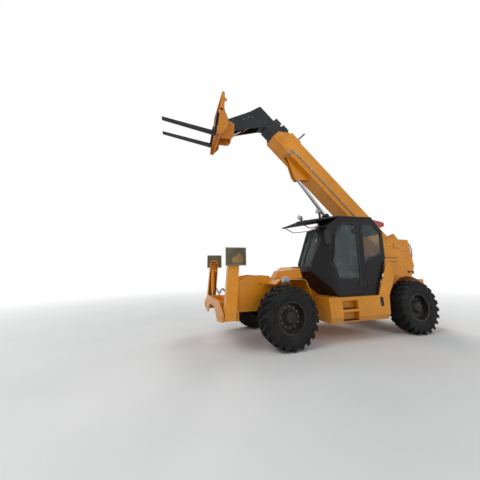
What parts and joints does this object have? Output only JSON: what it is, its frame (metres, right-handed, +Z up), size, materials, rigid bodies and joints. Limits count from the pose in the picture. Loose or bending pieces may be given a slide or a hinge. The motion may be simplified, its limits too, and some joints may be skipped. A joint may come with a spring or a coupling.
{
  "type": "telehandler",
  "caption": "Telescopic loader with a long raised boom, fork carriage, side cab, steered wheels and fold-down front stabilizers.",
  "frame": {"origin": "middle of the machine's bounding box, on the ground under the wheels", "axes": "+X to the machine's left, +Y to its tail, +Z up; the forks point to -Y"},
  "size_m": [2.44, 7.5465, 6.4062],
  "materials": {
    "boom_head": "satin black paint, dusty",
    "boom_hoses": "black grained plastic",
    "boom_outer": "satin golden orange paint with dust and scuffs",
    "boom_second": "satin black paint, dusty",
    "boom_third": "satin black paint, dusty",
    "cab_door": "satin black paint, dusty",
    "cab_roof": "satin black paint, dusty",
    "cab_shell": "satin black paint, dusty",
    "cab_visor": "satin black paint, dusty",
    "cab_windows": "clear, faintly green",
    "carriage": "satin golden orange paint with dust and scuffs",
    "door_glass": "clear, faintly green",
    "drive_line": "satin black paint, dusty",
    "engine": "oily casting",
    "engine_cover": "satin golden orange paint with dust and scuffs",
    "fenders": "satin golden orange paint with dust and scuffs",
    "fork_shaft": "satin black paint, dusty",
    "forks": "satin black paint, dusty",
    "front_axle": "satin black paint, dusty",
    "front_beam": "satin golden orange paint with dust and scuffs",
    "front_cowl": "satin golden orange paint with dust and scuffs",
    "front_left_knuckle": "satin black paint, dusty",
    "front_left_rim": "satin black paint, dusty",
    "front_left_tyre": "dusty rubber",
    "front_right_knuckle": "satin black paint, dusty",
    "front_right_rim": "satin black paint, dusty",
    "front_right_tyre": "dusty rubber",
    "front_steering_rod": "hard chrome, lightly oiled",
    "hose_cover": "faded red",
    "lamps": "satin black paint, dusty",
    "left_stabilizer_cylinder": "satin golden orange paint with dust and scuffs",
    "left_stabilizer_leg": "satin golden orange paint with dust and scuffs",
    "left_stabilizer_pad": "worn paint",
    "left_stabilizer_rod": "hard chrome, lightly oiled",
    "lift_cylinder": "worn paint",
    "lift_rod": "hard chrome, lightly oiled",
    "main_frame": "satin golden orange paint with dust and scuffs",
    "mirror": "black grained plastic",
    "rear_axle": "satin black paint, dusty",
    "rear_left_knuckle": "satin black paint, dusty",
    "rear_left_rim": "satin black paint, dusty",
    "rear_left_tyre": "dusty rubber",
    "rear_right_knuckle": "satin black paint, dusty",
    "rear_right_rim": "satin black paint, dusty",
    "rear_right_tyre": "dusty rubber",
    "rear_steering_rod": "hard chrome, lightly oiled",
    "right_stabilizer_cylinder": "satin golden orange paint with dust and scuffs",
    "right_stabilizer_leg": "satin golden orange paint with dust and scuffs",
    "right_stabilizer_pad": "worn paint",
    "right_stabilizer_rod": "hard chrome, lightly oiled",
    "seat": "black vinyl",
    "side_box": "satin golden orange paint with dust and scuffs",
    "steering_cylinders": "satin black paint, dusty",
    "steering_wheel": "black grained plastic",
    "tail_weight": "satin golden orange paint with dust and scuffs",
    "tilt_cylinder": "satin black paint, dusty",
    "tilt_rod": "hard chrome, lightly oiled",
    "tower": "satin golden orange paint with dust and scuffs",
    "windscreen": "clear, faintly green",
    "wiper": "black grained plastic"
  },
  "bodies": {
    "chassis": {"cab_roof": "cab_roof", "cab_shell": "cab_shell", "cab_visor": "cab_visor", "cab_windows": "cab_windows", "drive_line": "drive_line", "engine": "engine", "engine_cover": "engine_cover", "fenders": "fenders", "front_axle": "front_axle", "front_beam": "front_beam", "front_cowl": "front_cowl", "lamps": "lamps", "main_frame": "main_frame", "mirror": "mirror", "rear_axle": "rear_axle", "seat": "seat", "side_box": "side_box", "steering_cylinders": "steering_cylinders", "steering_wheel": "steering_wheel", "tail_weight": "tail_weight", "tower": "tower", "windscreen": "windscreen", "wiper": "wiper"},
    "front_left_hub": {"front_left_knuckle": "front_left_knuckle"},
    "front_right_hub": {"front_right_knuckle": "front_right_knuckle"},
    "rear_left_hub": {"rear_left_knuckle": "rear_left_knuckle"},
    "rear_right_hub": {"rear_right_knuckle": "rear_right_knuckle"},
    "front_left_wheel": {"front_left_tyre": "front_left_tyre", "front_left_rim": "front_left_rim"},
    "front_right_wheel": {"front_right_tyre": "front_right_tyre", "front_right_rim": "front_right_rim"},
    "rear_left_wheel": {"rear_left_tyre": "rear_left_tyre", "rear_left_rim": "rear_left_rim"},
    "rear_right_wheel": {"rear_right_tyre": "rear_right_tyre", "rear_right_rim": "rear_right_rim"},
    "front_steering_bar": {"front_steering_rod": "front_steering_rod"},
    "rear_steering_bar": {"rear_steering_rod": "rear_steering_rod"},
    "outer_boom": {"boom_outer": "boom_outer", "hose_cover": "hose_cover", "boom_hoses": "boom_hoses"},
    "second_boom": {"boom_second": "boom_second"},
    "third_boom": {"boom_third": "boom_third"},
    "head_boom": {"boom_head": "boom_head"},
    "lift_barrel": {"lift_cylinder": "lift_cylinder"},
    "lift_bar": {"lift_rod": "lift_rod"},
    "tilt_barrel": {"tilt_cylinder": "tilt_cylinder"},
    "tilt_bar": {"tilt_rod": "tilt_rod"},
    "fork_carriage": {"carriage": "carriage", "fork_shaft": "fork_shaft", "forks": "forks"},
    "door": {"cab_door": "cab_door", "door_glass": "door_glass"},
    "left_leg": {"left_stabilizer_leg": "left_stabilizer_leg"},
    "left_foot": {"left_stabilizer_pad": "left_stabilizer_pad"},
    "left_leg_barrel": {"left_stabilizer_cylinder": "left_stabilizer_cylinder"},
    "left_leg_bar": {"left_stabilizer_rod": "left_stabilizer_rod"},
    "right_leg": {"right_stabilizer_leg": "right_stabilizer_leg"},
    "right_foot": {"right_stabilizer_pad": "right_stabilizer_pad"},
    "right_leg_barrel": {"right_stabilizer_cylinder": "right_stabilizer_cylinder"},
    "right_leg_bar": {"right_stabilizer_rod": "right_stabilizer_rod"}
  },
  "joints": [
    {"name": "boom_lift", "type": "hinge", "parent": "chassis", "child": "outer_boom", "pos_m": [0, 2.96, 2.2], "axis": [-1, 0, 0], "range_deg": [-49.5, 23]},
    {"name": "second_slide", "type": "slide", "parent": "outer_boom", "child": "second_boom", "axis": [0, -0.7071, 0.7071], "range_m": [0, 3.2]},
    {"name": "third_slide", "type": "slide", "parent": "second_boom", "child": "third_boom", "axis": [0, -0.7071, 0.7071], "range_m": [0, 3.2]},
    {"name": "head_slide", "type": "slide", "parent": "third_boom", "child": "head_boom", "axis": [0, -0.7071, 0.7071], "range_m": [0, 3.2]},
    {"name": "carriage_tilt", "type": "hinge", "parent": "head_boom", "child": "fork_carriage", "pos_m": [0, -1.96005, 5.56017], "axis": [-1, 0, 0], "range_deg": [-48, 55]},
    {"name": "lift_barrel_swing", "type": "hinge", "parent": "chassis", "child": "lift_barrel", "pos_m": [0, 2.568, 1.06], "axis": [-1, 0, 0], "range_deg": [-44.46, 20.66]},
    {"name": "lift_rod_slide", "type": "slide", "parent": "lift_barrel", "child": "lift_bar", "axis": [0, -0.6081, 0.7938], "range_m": [-0.91924, 0.42718]},
    {"name": "tilt_barrel_swing", "type": "hinge", "parent": "head_boom", "child": "tilt_barrel", "pos_m": [0, -1.08819, 5.95827], "axis": [-1, 0, 0], "range_deg": [-3.44, 3.94]},
    {"name": "tilt_rod_slide", "type": "slide", "parent": "tilt_barrel", "child": "tilt_bar", "axis": [0, -0.7856, -0.6187], "range_m": [-0.16681, 0.19113]},
    {"name": "front_left_steer", "type": "hinge", "parent": "chassis", "child": "front_left_hub", "pos_m": [0.87, -0.984, 0.62], "axis": [0, 0, 1], "range_deg": [-35, 35]},
    {"name": "front_left_spin", "type": "hinge", "parent": "front_left_hub", "child": "front_left_wheel", "pos_m": [1.005, -0.984, 0.62], "axis": [1, 0, 0], "continuous": true},
    {"name": "front_right_steer", "type": "hinge", "parent": "chassis", "child": "front_right_hub", "pos_m": [-0.87, -0.984, 0.62], "axis": [0, 0, 1], "range_deg": [-35, 35]},
    {"name": "front_right_spin", "type": "hinge", "parent": "front_right_hub", "child": "front_right_wheel", "pos_m": [-1.005, -0.984, 0.62], "axis": [1, 0, 0], "continuous": true},
    {"name": "front_steering_slide", "type": "slide", "parent": "chassis", "child": "front_steering_bar", "axis": [1, 0, 0], "range_m": [-0.08901, 0.08901]},
    {"name": "rear_left_steer", "type": "hinge", "parent": "chassis", "child": "rear_left_hub", "pos_m": [0.87, 2.51, 0.62], "axis": [0, 0, 1], "range_deg": [-35, 35]},
    {"name": "rear_left_spin", "type": "hinge", "parent": "rear_left_hub", "child": "rear_left_wheel", "pos_m": [1.005, 2.51, 0.62], "axis": [1, 0, 0], "continuous": true},
    {"name": "rear_right_steer", "type": "hinge", "parent": "chassis", "child": "rear_right_hub", "pos_m": [-0.87, 2.51, 0.62], "axis": [0, 0, 1], "range_deg": [-35, 35]},
    {"name": "rear_right_spin", "type": "hinge", "parent": "rear_right_hub", "child": "rear_right_wheel", "pos_m": [-1.005, 2.51, 0.62], "axis": [1, 0, 0], "continuous": true},
    {"name": "rear_steering_slide", "type": "slide", "parent": "chassis", "child": "rear_steering_bar", "axis": [1, 0, 0], "range_m": [-0.08901, 0.08901]},
    {"name": "cab_door_swing", "type": "hinge", "parent": "chassis", "child": "door", "pos_m": [1.144, 1.092, 1.79], "axis": [0, 0, 1], "range_deg": [0, 85]},
    {"name": "left_leg_swing", "type": "hinge", "parent": "chassis", "child": "left_leg", "pos_m": [1.06, -2.205, 0.7], "axis": [0, 1, 0], "range_deg": [0, 125]},
    {"name": "left_foot_swing", "type": "hinge", "parent": "left_leg", "child": "left_foot", "pos_m": [1.09, -2.205, 1.833], "axis": [0, 1, 0], "range_deg": [-35.01, 0]},
    {"name": "left_leg_barrel_swing", "type": "hinge", "parent": "left_leg", "child": "left_leg_barrel", "pos_m": [1.01, -2.205, 1.56], "axis": [0, 1, 0], "range_deg": [-3.18, 0.01]},
    {"name": "left_leg_bar_slide", "type": "slide", "parent": "left_leg_barrel", "child": "left_leg_bar", "axis": [-0.0879, 0, -0.9961], "range_m": [-0.0001, 0.37138]},
    {"name": "right_leg_swing", "type": "hinge", "parent": "chassis", "child": "right_leg", "pos_m": [-1.06, -2.205, 0.7], "axis": [0, -1, 0], "range_deg": [0, 125]},
    {"name": "right_foot_swing", "type": "hinge", "parent": "right_leg", "child": "right_foot", "pos_m": [-1.09, -2.205, 1.833], "axis": [0, -1, 0], "range_deg": [-35.01, 0]},
    {"name": "right_leg_barrel_swing", "type": "hinge", "parent": "right_leg", "child": "right_leg_barrel", "pos_m": [-1.01, -2.205, 1.56], "axis": [0, -1, 0], "range_deg": [-3.18, 0.01]},
    {"name": "right_leg_bar_slide", "type": "slide", "parent": "right_leg_barrel", "child": "right_leg_bar", "axis": [0.0879, 0, -0.9961], "range_m": [-0.0001, 0.37138]}
  ],
  "couplings": [
    {"joint": "third_slide", "follows": "second_slide", "ratio": 1},
    {"joint": "head_slide", "follows": "second_slide", "ratio": 1},
    {"joint": "lift_barrel_swing", "follows": "boom_lift", "ratio": 0.8981},
    {"joint": "lift_rod_slide", "follows": "boom_lift", "m_per_rad": 1.0639},
    {"joint": "tilt_barrel_swing", "follows": "carriage_tilt", "ratio": 0.0715},
    {"joint": "tilt_rod_slide", "follows": "carriage_tilt", "m_per_rad": 0.199},
    {"joint": "front_right_steer", "follows": "front_left_steer", "ratio": 1},
    {"joint": "front_steering_slide", "follows": "front_left_steer", "m_per_rad": 0.14554},
    {"joint": "rear_left_steer", "follows": "front_left_steer", "ratio": -1},
    {"joint": "rear_right_steer", "follows": "front_left_steer", "ratio": -1},
    {"joint": "rear_steering_slide", "follows": "front_left_steer", "m_per_rad": 0.14554},
    {"joint": "left_foot_swing", "follows": "left_leg_swing", "ratio": -0.28},
    {"joint": "left_leg_barrel_swing", "follows": "left_leg_swing", "ratio": -0.0254},
    {"joint": "left_leg_bar_slide", "follows": "left_leg_swing", "m_per_rad": 0.17018},
    {"joint": "right_foot_swing", "follows": "right_leg_swing", "ratio": -0.28},
    {"joint": "right_leg_barrel_swing", "follows": "right_leg_swing", "ratio": -0.0254},
    {"joint": "right_leg_bar_slide", "follows": "right_leg_swing", "m_per_rad": 0.17018}
  ]
}
